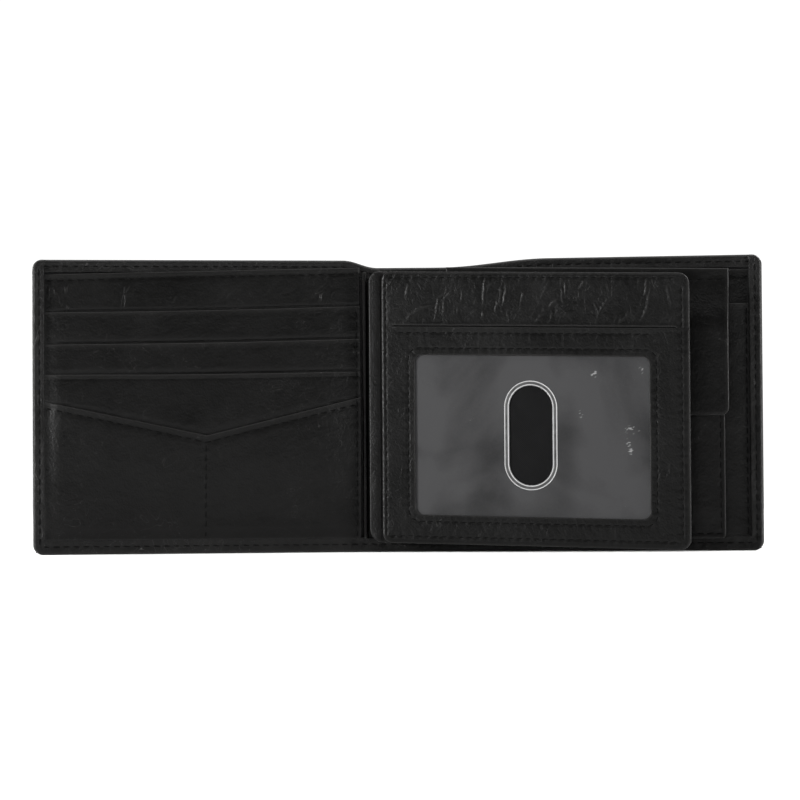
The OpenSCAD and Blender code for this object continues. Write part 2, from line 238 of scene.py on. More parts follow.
class Place:
    """Where one leaf stands: it runs from its crease, and bends to its rest angle over a short stretch."""

    def __init__(self, joint, side, angle, bend):
        axis = np.array(JOINTS[joint]["pos_m"]) / MM
        self.axis = np.array([axis[0], axis[1], 0.0])
        self.out = np.array([side, 0.0, 0.0])
        self.inward = np.array([0.0, -1.0, 0.0])
        self.angle, self.bend = angle, bend

    def heading(self, u):
        return self.angle * smooth((u + self.bend) / (2 * self.bend))

    def world(self, points):
        """Points given as rows of u, v, z, as rows of x, y, z in millimetres."""
        u, v, z = np.asarray(points, float).T
        knots = np.linspace(-self.bend, self.bend, 61)
        h = self.heading(knots)
        step = knots[1] - knots[0]
        along = np.concatenate([[0], np.cumsum((np.cos(h[1:]) + np.cos(h[:-1])) / 2 * step)]) - self.bend
        aside = np.concatenate([[0], np.cumsum((np.sin(h[1:]) + np.sin(h[:-1])) / 2 * step)])
        before, after = np.minimum(u + self.bend, 0), np.maximum(u - self.bend, 0)
        x = np.interp(u, knots, along) + before + after * math.cos(self.angle)
        y = np.interp(u, knots, aside) + after * math.sin(self.angle)
        h = self.heading(u)
        x, y = x - v * np.sin(h), y + v * np.cos(h)
        up = np.array([0.0, 0.0, 1.0])
        return self.axis + x[:, None] * self.out + y[:, None] * self.inward + z[:, None] * up

    def point(self, u, v, z):
        return tuple(self.world([[u, v, z]])[0] * MM)


left = Place("left_fold", -1, LEFT_ANGLE, 3.0)
right = Place("right_fold", 1, RIGHT_ANGLE, 3.0)
wing = Place("wing_flip", 1, WING_ANGLE, 0.8)


# Meshes ---------------------------------------------------------------


def make_object(name, points, faces, rest, wear_and_highlight, material, slot):
    """A mesh piece from points in millimetres, with its rest coordinates and its wear kept for the material;
    the wear also carries painted highlights.
    """
    mesh = bpy.data.meshes.new(name)
    mesh.from_pydata((np.asarray(points) * MM).tolist(), [], faces)
    mesh.validate()
    shell = bmesh.new()
    shell.from_mesh(mesh)
    bmesh.ops.recalc_face_normals(shell, faces=shell.faces)
    shell.to_mesh(mesh)
    shell.free()
    rest_layer = mesh.attributes.new("rest_mm", "FLOAT_VECTOR", "POINT")
    rest_layer.data.foreach_set("vector", np.asarray(rest, np.float32).ravel())
    wear_and_highlight_layer = mesh.attributes.new("wear_and_highlight", "FLOAT", "POINT")
    wear_and_highlight_layer.data.foreach_set("value", np.asarray(wear_and_highlight, np.float32).ravel())
    mesh.shade_smooth()
    mesh.set_sharp_from_angle(angle=math.radians(65))
    mesh.materials.append(material)
    obj = bpy.data.objects.new(name, mesh)
    bpy.context.scene.collection.objects.link(obj)
    return obj


def stations(length, r_start, r_end, step, extra=()):
    """Places of grid lines along a side: close together at rounded ends, and at the extra features."""
    ease = np.array([0, 0.05, 0.18, 0.4, 0.7, 1.0])
    inner = np.linspace(r_start, length - r_end, max(2, int((length - r_start - r_end) / step) + 1))
    features = [x for x in extra if 0 < x < length]
    lines = np.concatenate([ease * r_start, length - ease * r_end, inner, features])
    lines = np.unique(np.round(lines, 3))
    keep = [lines[0]]
    for x in lines[1:]:
        if x - keep[-1] > 0.03:
            keep.append(x)
    keep[-1] = length
    return np.array(keep)


def as_function(value):
    return value if callable(value) else (lambda u: np.full_like(u, float(value)))


def shell(name, place, grid, distance, radius, faces_at, look, seed, wear_and_highlight=None, looped=False, lift=None,
          rub=0.4):
    """A skin over a grid of (u, z) points, front and back, closed round its rim.

    distance is how far each point lies from a rounded edge, lift moves the finished points up, and rub is how
    far in from the edges the wear attribute reaches: rubbed edges on leather and film, and a painted highlight
    along the bead's edges."""
    U, Z = grid
    round_off = np.sqrt(1 - (1 - np.clip(distance / radius, 0, 1)) ** 2)
    front, back = (face(U, Z) for face in faces_at)
    middle, half = (front + back) / 2, (front - back) / 2 * round_off
    n, m = U.shape
    front_at = np.arange(n * m).reshape(n, m)
    shared = round_off < 1e-6
    back_at = np.where(shared, front_at, 0)
    back_at[~shared] = n * m + np.arange(int((~shared).sum()))
    raised = Z if lift is None else Z + lift(U)
    local = np.concatenate([
        np.stack([U, middle + half, raised], -1).reshape(-1, 3),
        np.stack([U, middle - half, raised], -1)[~shared],
    ])
    here = np.arange(n if looped else n - 1)
    after = (here + 1) % n
    quads = []
    for at in (front_at, back_at):
        corners = [at[here][:, :-1], at[after][:, :-1], at[after][:, 1:], at[here][:, 1:]]
        quads += np.stack(corners, -1).reshape(-1, 4).tolist()
    rims = [(front_at[:, k], back_at[:, k], here, after) for k in (0, -1)]
    if not looped:
        across = np.arange(m - 1)
        rims += [(front_at[k], back_at[k], across, across + 1) for k in (0, -1)]
    for face, rear, a, b in rims:
        for ring in np.stack([face[a], face[b], rear[b], rear[a]], -1).tolist():
            corners = [x for k, x in enumerate(ring) if x != ring[k - 1]]
            if len(corners) > 2:
                quads.append(corners)
    # Wear kept for the material: rubbed edges and scuffs, plus painted highlights on the bead's edges and the
    # wing strip's crease crests
    edge_wear_and_highlight = np.exp(-((distance / rub) ** 2)) + (wear_and_highlight(U, Z) if wear_and_highlight else 0)
    worn_and_highlit = np.concatenate([edge_wear_and_highlight.reshape(-1), edge_wear_and_highlight[~shared]])
    across = place.out[0] * (abs(place.axis[0]) + local[:, 0])
    rest = np.column_stack([across, local[:, 1] + 40.0 * seed, local[:, 2]])
    return make_object(name, place.world(local), quads, rest, worn_and_highlit, *look)


def slab(name, place, u, low, high, front, back, look, *, step=1.0, corners=(0, 0, 0, 0), radius=0.4,
         flat_start=False, flat_low=None, extra_u=(), extra_z=(), seed=0, wear_and_highlight=None):
    """A piece of leather or cloth with soft round edges.

    low and high are its bottom and top edges, front and back its two faces' depths, and corners its radii at
    start-low, start-high, end-low and end-high. Edges named flat keep their full thickness."""
    low, high = as_function(low), as_function(high)
    u0, u1 = u
    probe = np.linspace(u0, u1, 60)
    tall = float(np.max(high(probe) - low(probe)))
    s = stations(u1 - u0, 0 if flat_start else radius, radius, step, extra_u) / (u1 - u0)
    t = stations(tall, radius, radius, step, extra_z) / tall
    S, T = np.meshgrid(s, t, indexing="ij")
    nominal = u0 + S * (u1 - u0)
    Z = low(nominal) + T * (high(nominal) - low(nominal))
    start, end = np.full(Z.shape, float(u0)), np.full(Z.shape, float(u1))
    gaps = [Z - low(nominal), high(nominal) - Z]
    for k, r in enumerate(corners):
        bite = np.clip(r - gaps[k % 2], 0, r)
        inset = r - np.sqrt(np.maximum(r**2 - bite**2, 0))
        if k < 2:
            start = start + inset
        else:
            end = end - inset
    U = start + S * (end - start)
    rise = gaps[0] if flat_low is None else np.where(flat_low(U), FAR, gaps[0])
    sides = [end - U, rise, gaps[1], np.full(Z.shape, FAR) if flat_start else U - start]
    return shell(name, place, (U, Z), np.minimum.reduce(sides), radius, (front, back), look, seed, wear_and_highlight)


def rounded_loop(u0, u1, z0, z1, radii, count):
    """Points round a rectangle, anticlockwise from the middle of its bottom edge, with its own radius at each
    corner. Every side and every corner gets a fixed share of the points."""
    corners = [(u1, z0, -90), (u1, z1, 0), (u0, z1, 90), (u0, z0, 180)]
    signs = [(-1, 1), (-1, -1), (1, -1), (1, 1)]
    loop = []
    arcs = []
    for (cu, cz, start), (su, sz), r in zip(corners, signs, radii):
        turn = np.radians(start + np.linspace(0, 90, count // 2))
        arcs.append(np.stack([cu + su * r + r * np.cos(turn), cz + sz * r + r * np.sin(turn)], -1))
    share = np.linspace(0, 1, count * 2)[:-1, None]
    for k in range(4):
        here, after = arcs[k], arcs[(k + 1) % 4]
        loop.append(here[:-1])
        loop.append(here[-1] + (after[0] - here[-1]) * share)
    return np.concatenate(loop)


def ring_slab(name, place, inner, outer, front, back, look, *, step, radius, seed, lift=None, flat=None,
              wear_and_highlight=None, rub=0.4):
    """A piece with a hole: it spans from an inner loop to an outer loop of as many points."""
    span = np.linalg.norm(outer - inner, axis=1)
    reach = float(np.median(span))
    r = stations(reach, min(radius, reach / 3), min(radius, reach / 3), step) / reach
    P = inner[:, None, :] + (outer - inner)[:, None, :] * r[None, :, None]
    U, Z = P[..., 0], P[..., 1]
    to_outer = (1 - r[None, :]) * span[:, None]
    if flat is not None:
        to_outer = np.where(flat(outer[:, 0], outer[:, 1])[:, None], FAR, to_outer)
    distance = np.minimum(r[None, :] * span[:, None], to_outer)
    return shell(name, place, (U, Z), distance, radius, (front, back), look, seed, wear_and_highlight, True, lift, rub)


def capsule(length, radius, sides=7):
    """Rings of one stitch along x, rounded at its ends and bowed up in the middle."""
    t = np.linspace(0, math.pi, 7)
    x = -np.cos(t) * length / 2
    r = radius * np.sin(t) ** 0.45
    r[0] = r[-1] = radius * 0.25
    bow = np.sin(t) * radius * 0.5 - radius * 0.5
    turn = np.linspace(0, 2 * math.pi, sides, endpoint=False)
    rings = np.stack([
        np.repeat(x, sides),
        np.outer(r, np.cos(turn)).ravel() + np.repeat(bow, sides),
        np.outer(r, np.sin(turn)).ravel(),
    ], -1)
    faces = []
    for base in range(0, (len(x) - 1) * sides, sides):
        for j in range(sides):
            k = (j + 1) % sides
            faces.append([base + j, base + k, base + sides + k, base + sides + j])
    faces.append(list(range(sides))[::-1])
    faces.append([(len(x) - 1) * sides + j for j in range(sides)])
    return rings, faces


def stitches(name, place, paths, depth, *, pitch=STITCH_PITCH, radius=0.2, facing=1, seed=0):
    """Rows of sewn thread along paths of (u, z) points, lying at the depth that the function gives."""
    rng = np.random.default_rng(seed + 11)
    rings, ring_faces = capsule(pitch * 0.74, radius)
    if facing * place.out[0] < 0:
        ring_faces = [face[::-1] for face in ring_faces]
    points, faces, rest = [], [], []
    for path in paths:
        path = np.asarray(path, float)
        run = np.concatenate([[0], np.cumsum(np.linalg.norm(np.diff(path, axis=0), axis=1))])
        total = run[-1]
        count = max(1, int(round(total / pitch)))
        for k in range(count):
            at = (k + 0.5) * total / count
            near = (at, min(at + 0.3, total), max(at - 0.3, 0))
            here, ahead, behind = (np.array([np.interp(x, run, side) for side in path.T]) for x in near)
            tangent = (ahead - behind) / np.linalg.norm(ahead - behind)
            lean = rng.normal(0.06, 0.03)
            c, s = math.cos(lean), math.sin(lean)
            tangent = np.array([c * tangent[0] - s * tangent[1], s * tangent[0] + c * tangent[1]])
            side = np.array([-tangent[1], tangent[0]])
            v = depth(here[:1], here[1:])[0] + facing * radius * 0.05
            flat = here + rings[:, :1] * tangent + rings[:, 2:3] * side
            local = np.column_stack([flat[:, 0], v + facing * rings[:, 1], flat[:, 1]])
            faces += [[len(points) * len(rings) + i for i in face] for face in ring_faces]
            points.append(local)
            rest.append(local + rng.uniform(-50, 50, 3))
    local = np.concatenate(points)
    return make_object(name, place.world(local), faces, np.concatenate(rest), np.zeros(len(local)), *THREAD)


def nearest_on(U, Z, path):
    """Distance from a path, and the length along the path to its nearest point."""
    path = np.asarray(path, float)
    nearest, along, start = np.full(U.shape, 1e9), np.zeros(U.shape), 0.0
    for p, q in zip(path[:-1], path[1:]):
        run = q - p
        size = math.hypot(*run)
        t = np.clip(((U - p[0]) * run[0] + (Z - p[1]) * run[1]) / size**2, 0, 1)
        d = np.hypot(U - p[0] - t * run[0], Z - p[1] - t * run[1])
        closer = d < nearest
        nearest = np.where(closer, d, nearest)
        along = np.where(closer, start + t * size, along)
        start += size
    return nearest, along, start


def groove(U, Z, paths, depth=0.16, width=0.55, pitch=STITCH_PITCH):
    """How far sewn rows pull the leather in: a channel, with a small pucker beside each stitch."""
    pulled = np.zeros(U.shape)
    for path in paths:
        d, along, total = nearest_on(U, Z, path)
        own_pitch = total / max(1, round(total / pitch))
        beat = np.cos(2 * math.pi * along / own_pitch)
        channel = depth * (0.8 - 0.2 * beat) * np.exp(-((d / width) ** 2))
        pucker = 0.3 * depth * beat * np.exp(-(((d - 1.0) / 0.6) ** 2))
        pulled = np.maximum(pulled, channel - pucker)
    return pulled


def ridges(U, Z, paths, seed, height=0.32, width=0.32):
    """Sharp creases along given paths, with a slight valley on each side, fading at their ends."""
    total = np.zeros(U.shape)
    wander_u = U + 0.3 * noise(U / 1.7, Z / 1.7, seed) + 0.12 * noise(U * 1.5, Z * 1.5, seed + 1)
    wander_z = Z + 0.3 * noise(U / 1.7 + 7, Z / 1.7, seed + 2)
    for k, path in enumerate(paths):
        d, along, length = nearest_on(wander_u, wander_z, path)
        fade = np.clip(np.minimum(along, length - along) / (0.3 * length) + 0.15, 0, 1)
        x = (d / (width * (1 + 0.25 * math.sin(2.3 * k)))) ** 2
        shape = np.exp(-x) - 0.4 * np.exp(-x / 6)
        total = total + height * (0.75 + 0.25 * math.cos(1.7 * k)) * fade * shape
    return total


def about(*places):
    """Extra grid lines round each feature."""
    return [p + offset for p in places for offset in (-0.9, -0.5, -0.2, 0.0, 0.2, 0.5, 0.9)]


# Materials ------------------------------------------------------------


def put(tree, socket, value):
    """Gives a socket a value, or another node's output."""
    if isinstance(value, bpy.types.NodeSocket):
        tree.links.new(value, socket)
    else:
        socket.default_value = value


def add_node(tree, kind, inputs=None, **settings):
    made = tree.nodes.new("ShaderNode" + kind)
    for key, value in settings.items():
        setattr(made, key, value)
    for key, value in (inputs or {}).items():
        put(tree, made.inputs[key], value)
    return made


def rgba(colour):
    """A full colour from three parts or one grey. An output stays as it is."""
    if isinstance(colour, bpy.types.NodeSocket):
        return colour
    return (*colour, 1) if isinstance(colour, tuple) else (colour, colour, colour, 1)


class Recipe:
    """A material being made, with short ways to add nodes. Textures follow the piece's rest shape in
    millimetres, or the object's own coordinates on a carried-over node."""

    def __init__(self, name, carried_over=False):
        self.material = bpy.data.materials.new(name)
        self.material.use_nodes = True
        self.tree = self.material.node_tree
        if carried_over:
            self.where = self.node("TexCoord").outputs["Object"]
        else:
            self.where = self.node("Attribute", attribute_name="rest_mm").outputs["Vector"]

    def node(self, kind, inputs=None, **settings):
        return add_node(self.tree, kind, inputs, **settings)

    def wear_and_highlight(self):
        return self.node("Attribute", attribute_name="wear_and_highlight").outputs["Fac"]

    def noise(self, scale, detail, roughness=0.5, distortion=0.0, where=None):
        inputs = {"Vector": self.where if where is None else where, "Scale": scale, "Detail": detail,
                  "Roughness": roughness, "Distortion": distortion}
        return self.node("TexNoise", inputs).outputs["Fac"]

    def wave(self, scale, distortion):
        inputs = {"Vector": self.where, "Scale": scale, "Distortion": distortion}
        return self.node("TexWave", inputs, bands_direction="DIAGONAL").outputs["Fac"]

    def calculate(self, operation, *terms):
        return self.node("Math", dict(enumerate(terms)), operation=operation).outputs[0]

    def ramp(self, value, stops):
        """A ramp with two stops, each a place and a colour."""
        made = self.node("ValToRGB", {"Fac": value})
        for element, (at, colour) in zip(made.color_ramp.elements, stops):
            element.position = at
            element.color = rgba(colour)
        return made.outputs["Color"]

    def mix(self, factor, a, b):
        return self.node("Mix", {0: factor, 6: rgba(a), 7: rgba(b)}, data_type="RGBA").outputs[2]

    def thin_lines(self, scale, distortion, width):
        """Thin wandering lines along a noise's middle level, 1 on a line and 0 off it."""
        off = self.calculate("SUBTRACT", self.noise(scale, 2, distortion=distortion), 0.5)
        return self.ramp(self.calculate("ABSOLUTE", off), [(0, 1), (width, 0)])

    def bump(self, height, strength, distance):
        inputs = {"Height": height, "Strength": strength, "Distance": distance}
        return self.node("Bump", inputs).outputs["Normal"]

    def shade(self, **sockets):
        """Sets the shader's inputs, named with _ for each space, and gives back the finished material."""
        shader = self.tree.nodes["Principled BSDF"]
        for key, value in sockets.items():
            put(self.tree, shader.inputs[key.replace("_", " ")], value)
        return self.material


def leather_material(name, dark, light, rough, grain):
    """Black hide: pebbled grain, fine wrinkle lines, pale scratches, rubbed edges and a cloudy sheen. The wear
    attribute also brings in a painted highlight: paler crease crests on the wing's top strip.
    """
    hide = Recipe(name)
    cloud = hide.noise(0.07, 5, 0.62)
    patch = hide.ramp(hide.noise(0.035, 1), [(0.46, 0), (0.58, 1)])
    scratch = hide.calculate("MULTIPLY", hide.thin_lines(0.075, 3.2, 0.0032), patch)
    scuff = hide.ramp(hide.noise(0.9, 6, 0.75, 0.6), [(0.6, 0), (0.8, 1)])
    # The wear attribute: rubbed edges, and the painted highlight on the wing strip's crease crests
    marked = hide.calculate("MULTIPLY", hide.wear_and_highlight(), 0.45)
    marked = hide.calculate("MULTIPLY_ADD", scuff, 0.25, marked)
    marked = hide.calculate("MULTIPLY_ADD", scratch, 0.8, marked)
    worn_and_highlit = hide.calculate("MINIMUM", marked, 1)
    pebble = hide.node("TexVoronoi", {"Vector": hide.where, "Scale": 1.5, "Smoothness": 0.5},
                       feature="SMOOTH_F1")
    height = hide.calculate("MULTIPLY", pebble.outputs["Distance"], 0.5)
    height = hide.calculate("MULTIPLY_ADD", hide.noise(2.6, 4, 0.6), 0.45, height)
    height = hide.calculate("MULTIPLY_ADD", hide.noise(0.42, 3), 1.6, height)
    height = hide.calculate("MULTIPLY_ADD", hide.thin_lines(0.14, 1.4, 0.02), -0.22, height)
    return hide.shade(
        Base_Color=hide.mix(worn_and_highlit, hide.mix(cloud, dark, light), tuple(5 * c for c in light)),
        Roughness=hide.calculate("MULTIPLY_ADD", cloud, 0.3, rough - 0.15),
        Normal=hide.bump(height, grain, 0.00016), Specular_IOR_Level=0.115)


def lining_material(name):
    """Fine black twill."""
    twill = Recipe(name)
    colour = twill.mix(twill.noise(0.2, 4), (0.003, 0.003, 0.0031), (0.006, 0.006, 0.0063))
    return twill.shade(Base_Color=colour, Normal=twill.bump(twill.wave(1.1, 0.3), 0.4, 0.00008),
                       Roughness=0.85, Specular_IOR_Level=0.08)


def thread_material(name):
    """Waxed, twisted black thread."""
    waxed = Recipe(name)
    twist = waxed.wave(2.6, 0.4)
    colour = waxed.ramp(twist, [(0, 0.0008), (1, (0.003, 0.003, 0.0028))])
    return waxed.shade(Base_Color=colour, Normal=waxed.bump(twist, 0.5, 0.00006), Roughness=0.7,
                       Specular_IOR_Level=0.05)


def film_material(name):
    """Frosted grey film with soft slanting bands, and white rub marks from noise and the piece's wear."""
    frosted = Recipe(name)
    cloud = frosted.noise(0.035, 3, distortion=0.8)
    speck = frosted.noise(1.6, 5)
    slant = {"Vector": frosted.where, "Rotation": (0, 0.75, 0), "Scale": (0.05, 1, 0.012)}
    turned = frosted.node("Mapping", slant)
    band = frosted.noise(1, 2, where=turned.outputs["Vector"])
    rub = frosted.ramp(frosted.noise(0.33, 8, 0.8, 1.8), [(0.68, 0), (0.74, 1)])
    rub = frosted.calculate("MAXIMUM", rub, frosted.wear_and_highlight())
    tone = frosted.calculate("MULTIPLY_ADD", speck, 0.12, frosted.calculate("ADD", cloud, band))
    base = frosted.ramp(frosted.calculate("MULTIPLY", tone, 0.5), FILM_TONES)
    return frosted.shade(
        Base_Color=frosted.mix(rub, base, 0.22),
        Roughness=frosted.calculate("MULTIPLY_ADD", cloud, 0.2, 0.36),
        Normal=frosted.bump(speck, 0.15, 0.00005), Specular_IOR_Level=0.22)


def bead_painted_highlight_material(name):
    """The clear welded bead round the thumb hole: a painted highlight makes its two edges bright, film-grey
    between.
    """
    clear = Recipe(name)
    haze = clear.noise(0.8, 3)
    # The wear attribute, high near the bead's two edges, mixes them to 0.6 grey: a painted highlight
    colour = clear.mix(clear.wear_and_highlight(), clear.ramp(haze, [(0.3, 0.03), (0.8, 0.07)]), 0.6)
    return clear.shade(Base_Color=colour, Roughness=clear.calculate("MULTIPLY_ADD", haze, 0.1, 0.25),
                       Specular_IOR_Level=0.15)


def metal_material(name):
    """Plated steel with fine turning marks and light scratches."""
    plated = Recipe(name, carried_over=True)
    scratch = plated.noise(900, 4, distortion=0.5)
    colour = plated.ramp(scratch, [(0.3, (0.5, 0.5, 0.51)), (0.7, 0.68)])
    return plated.shade(
        Base_Color=colour, Roughness=plated.calculate("MULTIPLY_ADD", scratch, 0.2, 0.18),
        Normal=plated.bump(scratch, 0.1, 0.00003), Metallic=1)


hide = leather_material("leather", BLACK, GREY, 0.36, 0.6)
LEATHER = (hide, "leather")
HEMS = (leather_material("hem_leather", BLACK, HEM_GREY, 0.4, 1.0), "leather")
THREAD = (thread_material("thread"), "thread")
LINING = (lining_material("lining"), "lining")
FILM = (film_material("film"), "film")
BEAD_PAINTED_HIGHLIGHT = (bead_painted_highlight_material("rim"), "rim")
steel = metal_material("steel")


# Cover ----------------------------------------------------------------


def cover_top(place):
    """Height of the cover's top edge: it dips at the spine."""
    sign = place.out[0]
    axis = abs(place.axis[0])

    def top(u):
        x = sign * (axis + u)
        rise = smooth_cos((x + 17) / 11)
        fall = 1 - smooth_cos((x - 14) / 34)
        return HEIGHT - DIP * rise * fall

    return top


def smooth_cos(t):
    return (1 - np.cos(math.pi * np.clip(t, 0, 1))) / 2


def cover(side, place, body, seed):
    """One half of the cover: a leaf and half of the spine, with its edges turned in and sewn down."""
    top = cover_top(place)
    hem = HEM[side]
    row_ends = (-SPINE_HALF, LEAF - LOW_ROW)
    paths = [
        [(LEAF - ROW, ROW + 0.6), (LEAF - ROW, HEIGHT - ROW - 0.6)],
        [(u, LOW_ROW) for u in row_ends],
        [(u, float(top(u)) - ROW) for u in np.linspace(*row_ends, 40)],
    ]

    def lip(d, width, level):
        """How high the turned-in edge stands at a distance from the cover's edge."""
        puff = 0.1 * np.exp(-(((d - width + 0.5) / 0.45) ** 2))
        return INSIDE + (level - INSIDE) * (1 - smooth((d - width + 0.25) / 0.4)) + puff

    def meeting(U):
        """0 at the middle of the spine, where the two halves join, 1 away from it."""
        return smooth((U + SPINE_HALF) / 6)

    def front(U, Z):
        rim = np.maximum.reduce([
            lip(LEAF - U, hem, HEM_FRONT), lip(Z, HEM_LOW, HEM_FRONT),
            lip(top(U) - Z, HEM_TOP, TOP_HEM_FRONT), np.full(U.shape, INSIDE),
        ])
        on_rim = smooth((rim - INSIDE - 0.2) / 0.4)
        lumps = 0.18 * layered(U / 1.5, Z / 1.5, seed + 1, 2) + 0.1 * layered(U / 9, Z / 8, seed + 4, 2)
        return rim + on_rim * meeting(U) * (lumps - groove(U, Z, paths, 0.24, 0.6))

    def back(U, Z):
        fold_lines = creases(U, Z, seed + 40, 9, 0.07, 0.3) * 0.12
        waves = 0.12 * layered(U / 20, Z / 17, seed, 3)
        return BACK + meeting(U) * (waves + fold_lines + groove(U, Z, paths, 0.14, 0.6))

    width = LEAF + SPINE_HALF
    lines_u = [width - hem + d for d in LIP_LINES] + about(width - ROW)
    lines_u += [SPINE_HALF + d for d in range(-3, 4)]
    lines_z = [HEM_LOW - d for d in LIP_LINES] + [HEIGHT - HEM_TOP + d for d in LIP_LINES]
    leaf = slab(f"{side}_cover_leather", place, (-SPINE_HALF, LEAF), 0.0, top, front, back, HEMS, step=0.8,
                corners=(0, 0, CORNER, CORNER), flat_start=True, radius=0.95, seed=1,
                extra_u=lines_u, extra_z=lines_z + about(LOW_ROW, HEIGHT - ROW))
    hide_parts(f"{side}_cover", f"{side}_outer_hem", f"{side}_bottom_hem", f"{side}_top_hem")
    bend_with_spine(leaf, place)
    rows = stitches(f"{side}_cover_stitches", place, paths, front, seed=seed)
    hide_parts(f"{side}_cover_thread")
    bend_with_spine(rows, place)
    rear = stitches(f"{side}_cover_rear_stitches", place, paths, back, facing=-1, seed=seed + 1)
    bend_with_spine(rear, place)
    return leaf


def bend_with_spine(piece, place):
    """Bakes a piece's placement into its mesh, without bending it over the crease."""
    on_leaf, on_spine = (place.point(u, 0, MIDDLE_Z) for u in SPINE_BEND)
    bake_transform(piece)


left_half = cover("left", left, "left_leaf", 1)
cover("right", right, "right_leaf", 2)
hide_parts("spine_cover")


def note_lining(side, place, body, seed):
    """The cloth that lines the note compartment of one leaf."""
    top = cover_top(place)
    ends, low, top_gap = (1.6, LEAF - 0.8), 0.6, 3.2
    piece = slab(f"{side}_note_lining_cloth", place, ends, low, lambda u: top(u) - top_gap,
                 lambda U, Z: 0.8 + 0.05 * layered(U / 12, Z / 12, seed, 2), lambda U, Z: 0.5 + 0 * U, LINING,
                 step=2.5, radius=0.15, seed=seed)
    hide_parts(f"{side}_note_lining")
    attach(piece, body)


note_lining("left", left, "left_leaf", 31)
note_lining("right", right, "right_leaf", 32)


# Left inner panel -----------------------------------------------------


def straight(ends, sag=0.0):
    """A mouth whose end heights are given at the panel's outer end and at the spine, as a function of u."""
    def height(u):
        t = (u - PANEL[0]) / (PANEL[1] - PANEL[0])
        return ends[1] + (ends[0] - ends[1]) * t - sag * np.sin(math.pi * np.clip(t, 0, 1))
    return height


def layer_front(k):
    """Depth of one of the panel's stacked layers: pressed flat under the hems, full in the middle."""
    def front(U, Z):
        out = 0.5 * smooth((PANEL[1] - U) / 5.5) + 0.5 * smooth((PANEL[1] - U) / 17)
        up = 0.4 * smooth((Z - PANEL_LOW) / 4) + 0.6 * smooth((Z - PANEL_LOW) / 34)
        spread = TUCKED_V[k] + (FULL_V[k] - TUCKED_V[k]) * out * up
        crease_end = TUCKED_V[k] + (CREASE_V[k] - TUCKED_V[k]) * up
        return crease_end + (spread - crease_end) * smooth((U - PANEL[0]) / 15)
    return front


def under_layer(k):
    """Back face of a layer, lying on the layer behind it."""
    if k == 0:
        return lambda U, Z: 0.7 + 0 * U
    return lambda U, Z: layer_front(k - 1)(U, Z) + 0.05


def soft_leather(base, seed, paths=(), mouth=None, wrinkle=0.08, covers=(), folds=()):
    """A face with soft waves, wrinkles, a rolled mouth, pulled-in seams, and dips beside nearer mouths."""
    def front(U, Z):
        v = base(U, Z) + 0.14 * layered(U / 15, Z / 11, seed, 3) + ridges(U, Z, folds, seed + 30)
        v = v + wrinkle * (0.3 - creases(U, Z, seed + 20, 7.0, 0.085, 0.25, 1.6))
        if mouth is not None:
            d = mouth(U) - Z
            v = v + 0.12 * np.exp(-(((d - 0.5) / 0.4) ** 2)) - 0.1 * np.exp(-(((d - 1.4) / 0.3) ** 2))
        for cover in covers:
            gap = Z - cover(U)
            v = v - 0.38 * smooth((PANEL[1] - U) / 6) * np.exp(-(((gap - 0.25) / 0.5) ** 2))
        return v - groove(U, Z, paths)
    return front


def panel_piece(name, node, bodies, mouth, k, seed, *, paths=(), extra_u=(), extra_z=(), step=1.0, **soft):
    """Layer k of an inner panel, up to its mouth. It gives back the layer's front face."""
    place, leaf, panel = bodies
    front = soft_leather(layer_front(k), seed, paths, mouth, **soft)
    piece = slab(name, place, PANEL, PANEL_LOW, mouth, front, under_layer(k), LEATHER, step=step, seed=seed,
                 radius=0.3, extra_u=extra_u, extra_z=extra_z)
    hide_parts(node)
    lean_on(piece, place, leaf, panel)
    return front


def lean_on(piece, place, leaf, panel):
    """Bakes a panel's piece's placement into its mesh."""
    sewn, free = (place.point(u, 3, MIDDLE_Z) for u in (SEWN_U, FREE_U[leaf]))
    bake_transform(piece)


